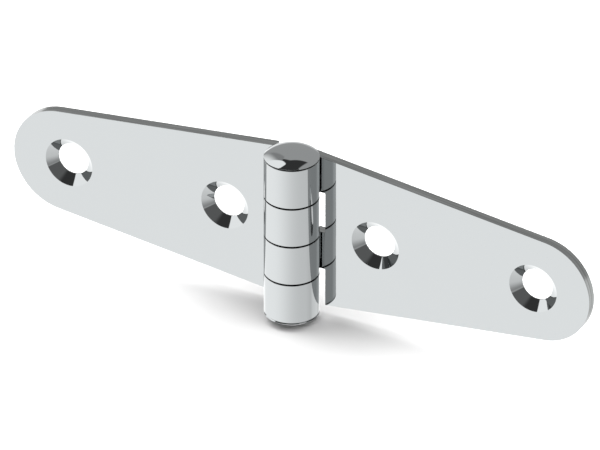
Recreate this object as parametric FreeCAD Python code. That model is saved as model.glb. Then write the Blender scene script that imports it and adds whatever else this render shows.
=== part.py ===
import FreeCAD, Part
import math
import os

# Tapered leaf hinge of polished stainless sheet, shown open flat.
# X runs along the leaves, Z runs up the pin, and the front, with the barrel and the
# countersinks, faces -Y. The origin is the middle of the pin's axis.

# Leaf, in mm
open_length = 130.0          # tip to tip with both leaves open flat
end_radius = 11.4            # full round end of each leaf
sheet_thickness = 2.1
edge_break = 0.1             # small bevel that takes the sharpness off every sheet edge

# Barrel
knuckles_per_leaf = 2
barrel_length = 35.3         # shared evenly between the knuckles
knuckle_gap = 0.28           # play between neighbouring knuckles
roll_end_gap = 0.3           # seam left where the rolled end comes back to the leaf
cutback_gap = 0.1            # from a leaf's cut-back edge to the barrel's side, seen from the front
notch_corner_radius = 0.4    # punch radius in the corners of the knuckle slots
shoulder_length = 0.1        # straight stretch beside the barrel's end
shoulder_blend_length = 0.3  # each half of the curve that eases it into the taper

# Screw holes
inner_hole_offset = 17.0     # from the pin's axis to the nearer hole
hole_pitch = 35.4
hole_diameter = 6.8
countersink_diameter = 10.6
countersink_angle = 90.0     # included angle, degrees

# Pin and its end cap
pin_diameter = 6.9
bore_clearance = 0.05        # radial, pin in knuckle
head_gap = 0.1               # between a head and the end of the barrel
head_height = 2.15           # from its seat to the top of its dome
head_edge_radius = 0.5       # rounding that turns the dome down to the barrel's side
spigot_diameter = 4.0        # turned-down end of the pin that the cap is pressed on
spigot_length = 1.2
spigot_clearance = 0.02      # radial, all round the pressed spigot

# Derived sizes
leaf_reach = open_length / 2
bore_radius = pin_diameter / 2 + bore_clearance
barrel_radius = bore_radius + sheet_thickness
knuckle_count = 2 * knuckles_per_leaf
own_places = range(0, knuckle_count, 2)
taper_start = shoulder_length + shoulder_blend_length
knuckle_pitch = barrel_length / knuckle_count
barrel_end = barrel_length / 2
cutback_reach = barrel_radius + cutback_gap
head_seat = barrel_end + head_gap
beyond = sheet_thickness     # how far a cutting tool runs past what it cuts


def at(x, y, z):
    return FreeCAD.Vector(x, y, z)


origin = at(0, 0, 0)
along_y = at(0, 1, 0)
along_z = at(0, 0, 1)


def taper_angle():
    """Slope of a leaf's long edges: the line from the shoulder that just touches the round end."""
    centre_x = leaf_reach - end_radius - taper_start
    distance = math.hypot(centre_x, barrel_end)
    return math.atan2(barrel_end, centre_x) - math.asin(end_radius / distance)


def knuckle_span(place):
    """Lower and upper end of the knuckle at a place, counted down from the top of the barrel."""
    low = barrel_end - (place + 1) * knuckle_pitch
    high = barrel_end - place * knuckle_pitch
    if place > 0:
        high -= knuckle_gap / 2
    if place < knuckle_count - 1:
        low += knuckle_gap / 2
    return low, high


def rounded_outline(corners):
    """Closed wire in the XZ plane through (x, z, radius) corners, each rounded by its radius."""
    starts = []
    ends = []
    arcs = []
    for index, (x, z, radius) in enumerate(corners):
        before = corners[index - 1]
        after = corners[(index + 1) % len(corners)]
        corner = at(x, 0, z)
        to_before = (at(before[0], 0, before[1]) - corner).normalize()
        to_after = (at(after[0], 0, after[1]) - corner).normalize()
        half_angle = to_before.getAngle(to_after) / 2
        tangent_length = radius / math.tan(half_angle)
        starts.append(corner + to_before * tangent_length)
        ends.append(corner + to_after * tangent_length)
        middle = None
        if radius:
            inward = (to_before + to_after).normalize()
            middle = corner + inward * (radius / math.sin(half_angle) - radius)
        arcs.append(middle)
    edges = []
    for index, middle in enumerate(arcs):
        if middle:
            edges.append(Part.Arc(starts[index], middle, ends[index]).toShape())
        following = (index + 1) % len(arcs)
        edges.append(Part.LineSegment(ends[index], starts[following]).toShape())
    return Part.Wire(edges)


def leaf_plate():
    """The flat of the leaf: tapered to a round end, and slotted between its own knuckles."""
    slope = math.tan(taper_angle())
    shoulder_radius = shoulder_blend_length / math.tan(taper_angle() / 2)
    apex = taper_start + barrel_end / slope
    edge_at_cutback = (apex - cutback_reach) * slope
    corners = [
        (0, barrel_end, 0),
        (taper_start, barrel_end, shoulder_radius),
        (apex, 0, end_radius),
        (cutback_reach, -edge_at_cutback, 0),
    ]
    for place in reversed(own_places):
        low, high = knuckle_span(place)
        corners.append((cutback_reach, low, notch_corner_radius))
        corners.append((0, low, 0))
        if place > 0:
            corners.append((0, high, 0))
            corners.append((cutback_reach, high, notch_corner_radius))
    face = Part.Face(rounded_outline(corners))
    face.translate(along_y * bore_radius)
    return face.extrude(along_y * sheet_thickness)


def rolled_knuckle(place):
    """The sheet rolled on round the pin from the leaf's back, until its end comes near the leaf's face."""
    roll_end = math.asin((bore_radius - roll_end_gap) / barrel_radius)
    end_direction = at(math.cos(roll_end), math.sin(roll_end), 0)
    halfway = end_direction * -1
    outer = end_direction * barrel_radius
    inner = end_direction * bore_radius
    section = Part.Wire([
        Part.Arc(along_y * barrel_radius, halfway * barrel_radius, outer).toShape(),
        Part.LineSegment(outer, inner).toShape(),
        Part.Arc(inner, halfway * bore_radius, along_y * bore_radius).toShape(),
        Part.LineSegment(along_y * bore_radius, along_y * barrel_radius).toShape(),
    ])
    low, high = knuckle_span(place)
    knuckle = Part.Face(section).extrude(along_z * (high - low))
    knuckle.translate(along_z * low)
    return knuckle


def sharp_edges(solid, least_angle):
    """Edges whose two faces meet at more than an angle, in degrees."""
    found = []
    for edge in solid.Edges:
        faces = solid.ancestorsOfType(edge, Part.Face)
        if len(faces) < 2:
            continue
        middle = edge.valueAt((edge.FirstParameter + edge.LastParameter) / 2)
        normals = [face.normalAt(*face.Surface.parameter(middle)) for face in faces]
        if math.degrees(normals[0].getAngle(normals[1])) > least_angle:
            found.append(edge)
    return found


def screw_hole(x):
    """Tool for one countersunk hole, cut from the front of the sheet."""
    slope = math.tan(math.radians(countersink_angle / 2))
    hole_radius = hole_diameter / 2
    countersink_radius = countersink_diameter / 2
    depth = (countersink_radius - hole_radius) / slope
    mouth = at(x, bore_radius - beyond, 0)
    cone = Part.makeCone(countersink_radius + beyond * slope, hole_radius, depth + beyond, mouth, along_y)
    drill = Part.makeCylinder(hole_radius, sheet_thickness + 2 * beyond, mouth, along_y)
    return cone.fuse(drill)


def leaf():
    """One stamped and rolled leaf, in the place of the right-hand one."""
    solid = leaf_plate().multiFuse([rolled_knuckle(place) for place in own_places]).removeSplitter()
    solid = solid.makeChamfer(edge_break, sharp_edges(solid, 45))
    for x in (inner_hole_offset, inner_hole_offset + hole_pitch):
        solid = solid.cut(screw_hole(x))
    return solid


def domed_head():
    """Low dome seated on Z = 0: a spherical crown that rounds over to the barrel's own diameter."""
    edge_reach = barrel_radius - head_edge_radius
    flatness = edge_reach ** 2 + head_height ** 2 - head_edge_radius ** 2
    crown_radius = flatness / (2 * (head_height - head_edge_radius))
    edge_centre = at(edge_reach, 0, 0)
    crown_centre = at(0, 0, head_height - crown_radius)
    slope = math.atan2(edge_reach, -crown_centre.z)

    def tilted(centre, radius, angle):
        return centre + at(math.sin(angle), 0, math.cos(angle)) * radius

    rim = tilted(edge_centre, head_edge_radius, math.pi / 2)
    joined = tilted(crown_centre, crown_radius, slope)
    crown = at(0, 0, head_height)
    edge_middle = tilted(edge_centre, head_edge_radius, (slope + math.pi / 2) / 2)
    crown_middle = tilted(crown_centre, crown_radius, slope / 2)
    profile = Part.Wire([
        Part.LineSegment(origin, rim).toShape(),
        Part.Arc(rim, edge_middle, joined).toShape(),
        Part.Arc(joined, crown_middle, crown).toShape(),
        Part.LineSegment(crown, origin).toShape(),
    ])
    return Part.Face(profile).revolve(origin, along_z, 360)


def hinge_pin():
    """Shank through all knuckles, with a domed head above and a spigot for the cap below."""
    head = domed_head()
    head.translate(along_z * head_seat)
    shank = Part.makeCylinder(pin_diameter / 2, 2 * head_seat, along_z * -head_seat, along_z)
    spigot_end = along_z * (-head_seat - spigot_length)
    spigot = Part.makeCylinder(spigot_diameter / 2, spigot_length, spigot_end, along_z)
    return shank.fuse(head).fuse(spigot).removeSplitter()


def end_cap():
    """The same dome turned over, with a blind hole for the pin's spigot."""
    hole_radius = spigot_diameter / 2 + spigot_clearance
    hole = Part.makeCylinder(hole_radius, spigot_length + spigot_clearance, origin, along_z)
    cap = domed_head().cut(hole)
    cap.rotate(origin, along_y, 180)
    cap.translate(along_z * -head_seat)
    return cap


def turned_end_for_end(shape):
    """Both leaves are the same stamping: the left one is the right one turned about the front-to-back axis."""
    turned = shape.copy()
    turned.rotate(origin, along_y, 180)
    return turned


os.makedirs("parts", exist_ok=True)
right_leaf = leaf()
pieces = {
    "right_leaf": right_leaf,
    "left_leaf": turned_end_for_end(right_leaf),
    "hinge_pin": hinge_pin(),
    "end_cap": end_cap(),
}
for name, shape in pieces.items():
    shape.exportStep("parts/" + name + ".step")
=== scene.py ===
import math

import bmesh
import bpy
from mathutils import Matrix, Vector


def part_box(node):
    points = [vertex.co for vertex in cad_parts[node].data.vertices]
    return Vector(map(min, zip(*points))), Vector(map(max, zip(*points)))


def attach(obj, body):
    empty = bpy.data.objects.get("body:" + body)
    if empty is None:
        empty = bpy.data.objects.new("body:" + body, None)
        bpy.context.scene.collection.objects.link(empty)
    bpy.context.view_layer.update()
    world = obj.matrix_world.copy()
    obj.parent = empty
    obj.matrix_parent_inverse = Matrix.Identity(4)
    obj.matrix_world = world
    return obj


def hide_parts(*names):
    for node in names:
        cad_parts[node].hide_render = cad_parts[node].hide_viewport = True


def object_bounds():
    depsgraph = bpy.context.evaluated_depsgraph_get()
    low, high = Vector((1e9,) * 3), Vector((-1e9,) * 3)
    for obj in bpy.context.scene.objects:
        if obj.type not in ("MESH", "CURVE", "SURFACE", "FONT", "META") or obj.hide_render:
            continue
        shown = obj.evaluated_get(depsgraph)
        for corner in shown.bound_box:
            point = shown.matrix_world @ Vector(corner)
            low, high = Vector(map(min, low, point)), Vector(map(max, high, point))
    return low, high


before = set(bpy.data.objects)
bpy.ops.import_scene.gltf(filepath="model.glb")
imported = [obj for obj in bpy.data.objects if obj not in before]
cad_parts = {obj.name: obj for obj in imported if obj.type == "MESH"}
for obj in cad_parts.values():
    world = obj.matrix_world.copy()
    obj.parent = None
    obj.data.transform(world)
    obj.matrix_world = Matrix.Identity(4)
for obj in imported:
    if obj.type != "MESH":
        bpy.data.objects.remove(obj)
cad_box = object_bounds()

# Leaves: two stampings of stainless sheet about 2 mm thick, mirror-polished all over. Each is blanked
# to a taper with a round end, its tongues are rolled round the pin, and its holes are countersunk.
# The left leaf is the same stamping turned end for end, so its knuckles fill the places between.

MM = 0.001
leaf_low, leaf_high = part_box("right_leaf")
barrel_radius = -leaf_low.x
barrel_end = leaf_high.z
leaf_reach = leaf_high.x
sheet_thickness = 2.1 * MM
end_radius = 11.4 * MM
knuckle_count = 4
knuckle_gap = 0.36 * MM
roll_end_gap = 0.42 * MM
cutback_gap = 0.1 * MM
notch_corner_radius = 0.15 * MM
taper_start = 0.4 * MM
shoulder_blend_length = 0.3 * MM
edge_rounding = 0.06 * MM
inner_hole_offset = 17.0 * MM
hole_pitch = 35.4 * MM
hole_radius = 3.4 * MM
countersink_radius = 5.3 * MM
bore_radius = barrel_radius - sheet_thickness
round_end_steps = 64
roll_steps = 110
hole_segments = 96
weld_distance = 0.001 * MM
ALONG_Y = Vector((0, 1, 0))
ALONG_Z = Vector((0, 0, 1))


def flat_outline(leaf):
    """The blanked outline as one face in the plane of the leaf's front."""
    centre_x = leaf_reach - end_radius
    reach = math.hypot(centre_x - taper_start, barrel_end)
    taper = math.atan2(barrel_end, centre_x - taper_start) - math.asin(end_radius / reach)
    cutback = barrel_radius + cutback_gap
    pitch = 2 * barrel_end / knuckle_count
    touching = (centre_x + end_radius * math.sin(taper), bore_radius, end_radius * math.cos(taper))
    first = leaf.verts.new(touching)
    bmesh.ops.spin(leaf, geom=[first], cent=(centre_x, 0, 0), axis=ALONG_Y,
                   angle=math.pi - 2 * taper, steps=round_end_steps, use_duplicate=False)
    outline = list(leaf.verts)

    def corner(x, z):
        outline.append(leaf.verts.new((x, bore_radius, z)))
        return outline[-1]

    corner(cutback, -barrel_end + (cutback - taper_start) * math.tan(taper))
    third_low = -pitch + knuckle_gap / 2
    third_high = -knuckle_gap / 2
    first_low = pitch + knuckle_gap / 2
    notches = [corner(cutback, third_low)]
    corner(0, third_low)
    corner(0, third_high)
    notches.append(corner(cutback, third_high))
    notches.append(corner(cutback, first_low))
    corner(0, first_low)
    corner(0, barrel_end)
    shoulder = corner(taper_start, barrel_end)
    leaf.faces.new(outline)
    bmesh.ops.bevel(leaf, geom=notches, offset=notch_corner_radius, segments=6, profile=0.5,
                    affect="VERTICES", material=-1)
    bmesh.ops.bevel(leaf, geom=[shoulder], offset=shoulder_blend_length, segments=3, profile=0.5,
                    affect="VERTICES", material=-1)


def faces_towards(leaf, direction, offset):
    """Faces that look one way and lie in one plane."""
    found = []
    for face in leaf.faces:
        looks_there = face.normal.dot(direction) > 0.999
        out_of_plane = face.calc_center_median().dot(direction) - offset
        if looks_there and abs(out_of_plane) < weld_distance:
            found.append(face)
    return found


def roll_knuckles(leaf):
    """Rolls each tongue on round the pin until its end comes near the leaf's face again."""
    roll_end = math.asin((bore_radius - roll_end_gap) / barrel_radius)
    for tongue_end in faces_towards(leaf, Vector((-1, 0, 0)), 0):
        bmesh.ops.spin(leaf, geom=[tongue_end], cent=(0, 0, 0), axis=ALONG_Z,
                       angle=1.5 * math.pi + roll_end, steps=roll_steps, use_duplicate=False)


def countersunk_hole(leaf, x, front, back):
    """Rings of one hole, joined into its cone and its short land; returns the rims to leave open."""
    facing_front = Matrix.Rotation(math.pi / 2, 4, "X")
    slope_end = front + (countersink_radius - hole_radius)
    rings = []
    for y, radius in ((front, countersink_radius), (slope_end, hole_radius), (back, hole_radius)):
        place = Matrix.Translation((x, y, 0)) @ facing_front
        made = bmesh.ops.create_circle(leaf, segments=hole_segments, radius=radius, matrix=place)
        rings.append(list({edge for vert in made["verts"] for edge in vert.link_edges}))
    bmesh.ops.bridge_loops(leaf, edges=rings[0] + rings[1])
    bmesh.ops.bridge_loops(leaf, edges=rings[1] + rings[2])
    return rings[0], rings[2]


def mark_cut_edges(leaf):
    """Tells the sheared edges of the sheet, which keep the marks of their grinding, from its faces."""
    cut = leaf.faces.layers.float.new("cut_edge")
    for face in leaf.faces:
        outside_barrel = face.calc_center_median().x > barrel_radius
        across_sheet = abs(face.normal.z) > 0.9 or (outside_barrel and abs(face.normal.y) < 0.5)
        face[cut] = 1.0 if across_sheet else 0.0


def stamped_leaf():
    leaf = bmesh.new()
    flat_outline(leaf)
    leaf.normal_update()
    sheet = bmesh.ops.extrude_face_region(leaf, geom=leaf.faces[:])
    moved = [item for item in sheet["geom"] if isinstance(item, bmesh.types.BMVert)]
    bmesh.ops.translate(leaf, vec=ALONG_Y * sheet_thickness, verts=moved)
    bmesh.ops.recalc_face_normals(leaf, faces=leaf.faces[:])
    roll_knuckles(leaf)
    bmesh.ops.remove_doubles(leaf, verts=leaf.verts[:], dist=weld_distance)
    bmesh.ops.recalc_face_normals(leaf, faces=leaf.faces[:])
    least_angle = math.radians(45)
    sharp = [edge for edge in leaf.edges if edge.calc_face_angle(0) > least_angle]
    bmesh.ops.bevel(leaf, geom=sharp, offset=edge_rounding, segments=3, profile=0.5,
                    affect="EDGES", material=-1)
    leaf.normal_update()
    front_face = max(faces_towards(leaf, -ALONG_Y, -bore_radius), key=lambda face: face.calc_area())
    back_face = max(faces_towards(leaf, ALONG_Y, barrel_radius), key=lambda face: face.calc_area())
    front_rim = list(front_face.edges)
    back_rim = list(back_face.edges)
    bmesh.ops.delete(leaf, geom=[front_face, back_face], context="FACES_ONLY")
    for x in (inner_hole_offset, inner_hole_offset + hole_pitch):
        cone_rim, land_rim = countersunk_hole(leaf, x, bore_radius, barrel_radius)
        front_rim += cone_rim
        back_rim += land_rim
    bmesh.ops.triangle_fill(leaf, edges=front_rim, use_beauty=True, normal=-ALONG_Y)
    bmesh.ops.triangle_fill(leaf, edges=back_rim, use_beauty=True, normal=ALONG_Y)
    bmesh.ops.recalc_face_normals(leaf, faces=leaf.faces[:])
    mark_cut_edges(leaf)
    return leaf


def finished(mesh, name, material):
    """Turns a bmesh into a smooth-shaded object whose flats stay flat."""
    for face in mesh.faces:
        face.smooth = True
    crease_angle = math.radians(35)
    for edge in mesh.edges:
        edge.smooth = edge.calc_face_angle(0) < crease_angle
    data = bpy.data.meshes.new(name)
    mesh.to_mesh(data)
    mesh.free()
    piece = bpy.data.objects.new(name, data)
    bpy.context.collection.objects.link(piece)
    data.materials.append(material)
    weighted = piece.modifiers.new("flat_faces_stay_flat", "WEIGHTED_NORMAL")
    weighted.keep_sharp = True
    return piece


class Shade:
    """One socket of a node tree, so that shader maths reads as plain arithmetic."""

    def __init__(self, tree, socket=None):
        self.tree = tree
        self.socket = socket

    def node(self, kind, settings, inputs, output=0):
        made = self.tree.nodes.new(kind)
        for name, setting in settings.items():
            setattr(made, name, setting)
        for key, given in inputs.items():
            if isinstance(given, Shade):
                self.tree.links.new(given.socket, made.inputs[key])
            else:
                made.inputs[key].default_value = given
        return Shade(self.tree, made.outputs[output] if made.outputs else None)

    def maths(self, operation, first, second):
        return self.node("ShaderNodeMath", {"operation": operation}, {0: first, 1: second})

    def __add__(self, other):
        return self.maths("ADD", self, other)

    def __radd__(self, other):
        return self.maths("ADD", other, self)

    def __sub__(self, other):
        return self.maths("SUBTRACT", self, other)

    def __rsub__(self, other):
        return self.maths("SUBTRACT", other, self)

    def __mul__(self, other):
        return self.maths("MULTIPLY", self, other)

    def __rmul__(self, other):
        return self.maths("MULTIPLY", other, self)

    def ramp(self, low, high):
        """Rises smoothly from 0 at low to 1 at high."""
        return self.node(
            "ShaderNodeMapRange",
            {"interpolation_type": "SMOOTHSTEP"},
            {"Value": self, "From Min": low, "From Max": high},
        )

    def tint(self, low, high):
        """Goes from the colour low at 0 to the colour high at 1."""
        return self.node("ShaderNodeMix", {"data_type": "RGBA"}, {0: self, 6: low, 7: high}, output=2)

    def grain(self, place, stretch, detail):
        """Noise of a given fineness along each axis, in cycles a metre."""
        laid = self.node("ShaderNodeMapping", {}, {"Vector": place, "Scale": stretch})
        return self.node("ShaderNodeTexNoise", {}, {"Vector": laid, "Scale": 1.0, "Detail": detail})


def shade_of(owner):
    owner.use_nodes = True
    owner.node_tree.nodes.clear()
    return Shade(owner.node_tree)


def polished_sheet():
    """Mirror-polished sheet: a breath of haze, hairline scratches, and edges ground along the sheet."""
    material = bpy.data.materials.new("polished_sheet")
    steel = shade_of(material)
    place = steel.node("ShaderNodeTexCoord", {}, {}, output="Object")
    cut = steel.node("ShaderNodeAttribute", {"attribute_name": "cut_edge"}, {}, output="Fac")
    haze = steel.grain(place, (90, 90, 90), 3.0)
    hairlines = steel.grain(place, (400, 400, 9000), 2.0).ramp(0.62, 0.75)
    streaks = steel.grain(place, (60, 2600, 60), 4.0).ramp(0.3, 0.7)
    ground = streaks.tint((0.44, 0.455, 0.45, 1), (0.62, 0.64, 0.635, 1))
    mirror = haze.tint((0.765, 0.795, 0.803, 1), (0.775, 0.805, 0.813, 1))
    relief = steel.node("ShaderNodeBump", {}, {
        "Strength": 0.25,
        "Distance": 0.02 * MM,
        "Height": streaks * cut + hairlines * 0.02,
    })
    surface = steel.node("ShaderNodeBsdfPrincipled", {}, {
        "Base Color": cut.tint(mirror, ground),
        "Metallic": 1.0,
        "Roughness": haze * 0.02 + hairlines * 0.02 + cut * 0.16 + 0.015,
        "Normal": relief,
    })
    steel.node("ShaderNodeOutputMaterial", {}, {"Surface": surface})
    return material


leaf_polish = polished_sheet()
right_leaf = finished(stamped_leaf(), "right_leaf_sheet", leaf_polish)
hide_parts("right_leaf")
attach(right_leaf, "moving_leaf")

turned = stamped_leaf()
bmesh.ops.rotate(turned, verts=turned.verts[:], cent=(0, 0, 0), matrix=Matrix.Rotation(math.pi, 3, "Y"))
left_leaf = finished(turned, "left_leaf_sheet", leaf_polish)
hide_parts("left_leaf")
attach(left_leaf, "fixed_leaf")

# Hinge pin: one turned stainless bar with a low domed head of the barrel's own diameter, polished.
# Its shank runs through all four knuckles, and a spigot at its foot takes the end cap.

pin_low, pin_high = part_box("hinge_pin")
cap_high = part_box("end_cap")[1]
head_seat = -cap_high.z
head_height = pin_high.z - head_seat
pin_radius = 3.45 * MM
head_edge_radius = 0.06 * MM
edge_relief = 0.23 * MM
spigot_radius = 2.0 * MM
rim_steps = 10
crown_steps = 32
turning_steps = 144


def chain(mesh, places):
    """Joins (radius, height) places into one line of edges on the plane y = 0."""
    verts = [mesh.verts.new((radius, 0, height)) for radius, height in places]
    for first, second in zip(verts, verts[1:]):
        mesh.edges.new((first, second))
    return verts


def add_dome(mesh, rim, sign):
    """Draws the dome on from the rim: its rounded edge, then the arc of its crown to the pin's axis."""
    dome_height = head_height - edge_relief
    edge_reach = barrel_radius - head_edge_radius
    flatness = edge_reach ** 2 + dome_height ** 2 - head_edge_radius ** 2
    crown_radius = flatness / (2 * (dome_height - head_edge_radius))
    crown_drop = crown_radius - dome_height
    slope = math.atan2(edge_reach, crown_drop)
    edge = bmesh.ops.spin(mesh, geom=[rim], cent=(edge_reach, 0, rim.co.z), axis=ALONG_Y,
                          angle=sign * (slope - math.pi / 2), steps=rim_steps, use_duplicate=False)
    joined = [item for item in edge["geom_last"] if isinstance(item, bmesh.types.BMVert)]
    bmesh.ops.spin(mesh, geom=joined, cent=(0, 0, rim.co.z - sign * crown_drop), axis=ALONG_Y,
                   angle=-sign * slope, steps=crown_steps, use_duplicate=False)


def turned_bar(places, sign):
    """Turns a profile round the pin's axis; the last place is the dome's rim."""
    bar = bmesh.new()
    verts = chain(bar, places)
    add_dome(bar, verts[-1], sign)
    bmesh.ops.spin(bar, geom=bar.verts[:] + bar.edges[:], cent=(0, 0, 0), axis=ALONG_Z,
                   angle=2 * math.pi, steps=turning_steps, use_merge=True, use_duplicate=False)
    bmesh.ops.remove_doubles(bar, verts=bar.verts[:], dist=weld_distance)
    bmesh.ops.recalc_face_normals(bar, faces=bar.faces[:])
    return bar


def polished_bar():
    """Polished turned bar: the same steel, with the faintest rings left by the lathe."""
    material = bpy.data.materials.new("polished_bar")
    steel = shade_of(material)
    place = steel.node("ShaderNodeTexCoord", {}, {}, output="Object")
    level = steel.node("ShaderNodeVectorMath", {"operation": "MULTIPLY"}, {0: place, 1: (1, 1, 0)})
    from_axis = steel.node("ShaderNodeVectorMath", {"operation": "LENGTH"}, {0: level}, output="Value")
    rings = steel.node("ShaderNodeTexNoise", {"noise_dimensions": "1D"}, {
        "W": from_axis,
        "Scale": 9000.0,
        "Detail": 2.0,
    })
    haze = steel.grain(place, (120, 120, 120), 3.0)
    relief = steel.node("ShaderNodeBump", {}, {
        "Strength": 0.03,
        "Distance": 0.01 * MM,
        "Height": rings,
    })
    surface = steel.node("ShaderNodeBsdfPrincipled", {}, {
        "Base Color": haze.tint((0.765, 0.795, 0.803, 1), (0.775, 0.805, 0.813, 1)),
        "Metallic": 1.0,
        "Roughness": haze * 0.02 + 0.02,
        "Normal": relief,
    })
    steel.node("ShaderNodeOutputMaterial", {}, {"Surface": surface})
    return material


bar_polish = polished_bar()
pin = finished(turned_bar([
    (0, pin_low.z),
    (spigot_radius, pin_low.z),
    (spigot_radius, -head_seat),
    (pin_radius, -head_seat),
    (pin_radius, head_seat),
    (barrel_radius - edge_relief, head_seat),
    (barrel_radius, head_seat + edge_relief),
], 1), "hinge_pin_bar", bar_polish)
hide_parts("hinge_pin")
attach(pin, "fixed_leaf")

# End cap: the same low dome turned over, pressed on the pin's spigot at the foot of the barrel.
# It is turned from the same bar and polished with the hinge put together.

spigot_clearance = 0.02 * MM
socket_radius = spigot_radius + spigot_clearance
socket_end = pin_low.z - spigot_clearance
cap = finished(turned_bar([
    (0, socket_end),
    (socket_radius, socket_end),
    (socket_radius, -head_seat),
    (barrel_radius - edge_relief, -head_seat),
    (barrel_radius, -head_seat - edge_relief),
], -1), "end_cap_dome", bar_polish)
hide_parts("end_cap")
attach(cap, "fixed_leaf")

# Studio floor: the hinge stands on its end cap on plain white board, wide enough for every view.
# The board keeps the softboxes' soft shadow round the foot. Away from the foot, a painted glow seen
# only by the camera washes that shadow out to white. The metal mirrors it only beside the foot, and the
# room's pale table elsewhere.

floor_radius = 3.0
floor_white = 0.77
# strength of the painted glow that washes the shadow out to white away from the foot
painted_glow_level = 0.47
shadow_centre = (1.5 * MM, -3.5 * MM, 0)
shadow_length = 34.0 * MM
shadow_width = 27.0 * MM
fade_start = 0.25            # in lengths and widths of the shadow, from its centre
fade_end = 1.35
white_from = 100.0 * MM
white_by = 400.0 * MM
mirrored_reach = 7.0 * MM
mirrored_end = 9.1 * MM
floor_mesh = bmesh.new()
bmesh.ops.create_circle(floor_mesh, cap_ends=True, segments=96, radius=floor_radius)
bmesh.ops.translate(floor_mesh, vec=ALONG_Z * cad_box[0][2], verts=floor_mesh.verts[:])
floor_data = bpy.data.meshes.new("studio_floor")
floor_mesh.to_mesh(floor_data)
floor_mesh.free()
studio_floor = bpy.data.objects.new("studio_floor", floor_data)
bpy.context.collection.objects.link(studio_floor)
floor_board = bpy.data.materials.new("white_board")
board = shade_of(floor_board)
matt = board.node("ShaderNodeBsdfDiffuse", {}, {"Color": (floor_white, floor_white, floor_white, 1)})
seen_directly = board.node("ShaderNodeLightPath", {}, {}, output="Is Camera Ray")
on_board = board.node("ShaderNodeTexCoord", {}, {}, output="Object")
round_foot = board.node("ShaderNodeMapping", {"vector_type": "TEXTURE"}, {
    "Vector": on_board,
    "Location": shadow_centre,
    "Scale": (shadow_length, shadow_width, 1),
})
from_foot = board.node("ShaderNodeVectorMath", {"operation": "LENGTH"}, {0: round_foot}, output="Value")
from_origin = board.node("ShaderNodeVectorMath", {"operation": "LENGTH"}, {0: on_board}, output="Value")
# painted light: a glow for camera rays only, low round the foot and rising away from it, fades the real
# shadow to white; far out it keeps the board white
painted_shadow_fade_and_far_white = from_foot.ramp(fade_start, fade_end) * painted_glow_level + from_origin.ramp(white_from, white_by)
glow = board.node("ShaderNodeEmission", {}, {"Strength": painted_shadow_fade_and_far_white * seen_directly})
both = board.node("ShaderNodeAddShader", {}, {0: matt, 1: glow})
in_mirror = board.node("ShaderNodeLightPath", {}, {}, output="Is Glossy Ray")
unseen = from_origin.ramp(mirrored_reach, mirrored_end) * in_mirror
nothing = board.node("ShaderNodeBsdfTransparent", {}, {})
whole = board.node("ShaderNodeMixShader", {}, {0: unseen, 1: both, 2: nothing})
board.node("ShaderNodeOutputMaterial", {}, {"Surface": whole})
floor_data.materials.append(floor_board)

# Camera: a very long lens from the front, to the right and above, so that the hinge shows with
# hardly any perspective, as in the picture it is made after.


def from_direction(azimuth, elevation):
    """Unit vector out from the hinge: degrees round from the front to the right, and up."""
    turn = math.radians(azimuth)
    rise = math.radians(elevation)
    return Vector((math.sin(turn) * math.cos(rise), -math.cos(turn) * math.cos(rise), math.sin(rise)))


camera_data = bpy.data.cameras.new("camera")
camera_data.lens = 1250.0    # with a longer one, views from other angles end short of the hinge
frame_width = 119.95 * MM
camera_azimuth = 27.75
camera_elevation = 31.0
camera_aim = Vector((0.03 * MM, bore_radius, 0.09 * MM))
camera_distance = frame_width * camera_data.lens / camera_data.sensor_width
camera = bpy.data.objects.new("camera", camera_data)
bpy.context.collection.objects.link(camera)
to_camera = from_direction(camera_azimuth, camera_elevation)
camera.location = camera_aim + to_camera * camera_distance
camera.rotation_euler = to_camera.to_track_quat("Z", "Y").to_euler()
bpy.context.scene.camera = camera

# Studio light: a large softbox on either side and a weak one in front light the board. The metal
# mirrors a room of its own: a pale table, a tall white panel on the left, a grey one in front, grey
# walls, and a dark front above.

softbox_distance = 1.2


def softbox(name, direction, size, power):
    data = bpy.data.lights.new(name, "AREA")
    data.shape = "DISK"
    data.size = size
    data.energy = power
    lamp = bpy.data.objects.new(name, data)
    bpy.context.collection.objects.link(lamp)
    lamp.location = direction * softbox_distance
    lamp.rotation_euler = direction.to_track_quat("Z", "Y").to_euler()
    lamp.visible_glossy = False


softbox("left_softbox", from_direction(-97, 55), 1.4, 18.0)
softbox("right_softbox", from_direction(97, 55), 1.4, 14.0)
softbox("front_softbox", from_direction(15, 35), 1.0, 4.5)

world = bpy.data.worlds.new("studio_room")
bpy.context.scene.world = world
room = shade_of(world)
looked_at = room.node("ShaderNodeTexCoord", {}, {}, output="Generated")
rightwards = room.node("ShaderNodeSeparateXYZ", {}, {"Vector": looked_at}, output="X")
backwards = room.node("ShaderNodeSeparateXYZ", {}, {"Vector": looked_at}, output="Y")
upwards = room.node("ShaderNodeSeparateXYZ", {}, {"Vector": looked_at}, output="Z")


def side_of(plane, softness):
    """1 on the side of a plane through the hinge that its normal points to, and 0 on the other."""
    cosine = room.node("ShaderNodeVectorMath", {"operation": "DOT_PRODUCT"}, {0: looked_at, 1: plane},
                       output="Value")
    return cosine.ramp(-softness, softness)


def blend(mask, under, over):
    """What lies under where the mask is 0, and what lies over it where the mask is 1."""
    return under + (over - under) * mask


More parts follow.
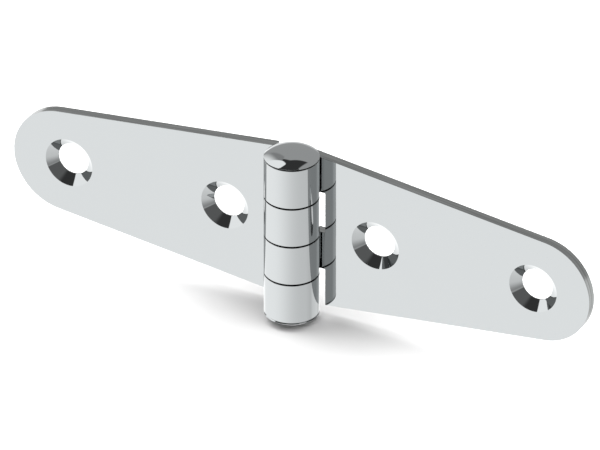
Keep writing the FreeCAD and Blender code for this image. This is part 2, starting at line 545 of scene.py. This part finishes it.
# Above the table: dark in front, grey walls behind and to the right, and the left wall with its panel.
dark_front = blend(side_of((1, -0.6, -0.76), 0.2), 0.035, 0.11)
far_back = 1 - side_of((0.75, -1, 0.29), 0.03)
left_back = 1 - side_of((-0.05, -1, 0.165), 0.03)
right_wall = 1 - side_of((-1, 0.17, 0.33), 0.03)
right_front = 1 - side_of((-1, -1.35, 0.30), 0.03)
walls = 1 - (1 - far_back * left_back) * (1 - right_wall * right_front)
left_side = side_of((-0.73, 1, 0), 0.02)
left_wall = left_side * side_of((-2.2, 0, -1), 0.08) * side_of((-0.69, -1, 0), 0.05)
left_glow = left_wall * side_of((-0.74, -1, -0.5), 0.17)
rounded_corners = side_of((-0.64, -1, -0.18), 0.03) * side_of((-1.35, 1, -0.22), 0.03)
panel = left_side * side_of((-4.3, 0, -1), 0.08) * side_of((-0.18, -1, 0), 0.02) * rounded_corners
room_above = dark_front
for mask, level in ((walls, 0.34), (left_wall, 0.24), (left_glow, 0.9), (panel, 0.95)):
    room_above = blend(mask, room_above, level)

# The table: brightest on the left, and darker near the horizon except on the left and behind.
below = 0 - upwards
near_table = blend(below.ramp(0.0, 0.55), 0.42, 1.0)
open_back = backwards.ramp(0.3, 0.5) * rightwards.ramp(0.2, 0.4)
near_table = blend(open_back, near_table, 1.25)
back_left = backwards.ramp(0.2, 0.7) * (1 - rightwards.ramp(-0.3, 0.1))
back_right = backwards.ramp(-0.1, 0.5) * rightwards.ramp(-0.1, 0.3)
table = blend(rightwards.ramp(-0.8, 1.15), 0.95, 0.6)
table = table * (1 + 0.3 * back_left - 0.17 * back_right)
table = table * blend(rightwards.ramp(-0.9, -0.3), 1.0, near_table)

overhead = side_of((0, 0, 1), 0.015)
mirrored = blend(overhead, table, room_above)
front_panel = (0 - backwards).ramp(0.865, 0.94)
mirrored = blend(front_panel, mirrored, 0.62 + 0.3 * upwards)

# What a mirror in the mirror shows is darker, and from the fourth bounce on nearly black.
bounces = room.node("ShaderNodeLightPath", {}, {}, output="Glossy Depth")
ahead = blend(rightwards.ramp(0.0, 0.2) * backwards.ramp(-0.75, -0.6), 0.16, 0.06)
beside_barrel = 0.28 - 0.1 * backwards.ramp(-0.2, 0.12) + 0.12 * (1 - rightwards.ramp(0.2, 0.5))
mirrored_twice = blend(below.ramp(0.46, 0.5), ahead, beside_barrel)
mirrored_twice = mirrored_twice * blend(bounces.ramp(3.4, 3.6), 1.0, 0.1)
mirrored = blend(bounces.ramp(1.4, 1.6), mirrored, mirrored_twice)

# The backdrop is white, and the board is lit by the softboxes and only weakly by the room.
from_board = room.node("ShaderNodeLightPath", {}, {}, output="Diffuse Depth")
mirrored = blend(from_board.ramp(0.4, 0.6), mirrored, 0.03)
mirror_ray = room.node("ShaderNodeLightPath", {}, {}, output="Is Glossy Ray")
camera_ray = room.node("ShaderNodeLightPath", {}, {}, output="Is Camera Ray")
shown = blend(camera_ray, blend(mirror_ray, 0.28, mirrored), 1.0)
background = room.node("ShaderNodeBackground", {}, {"Color": (1, 1, 1, 1), "Strength": shown})
room.node("ShaderNodeOutputWorld", {}, {"Surface": background})
bpy.context.scene.view_settings.view_transform = "Standard"
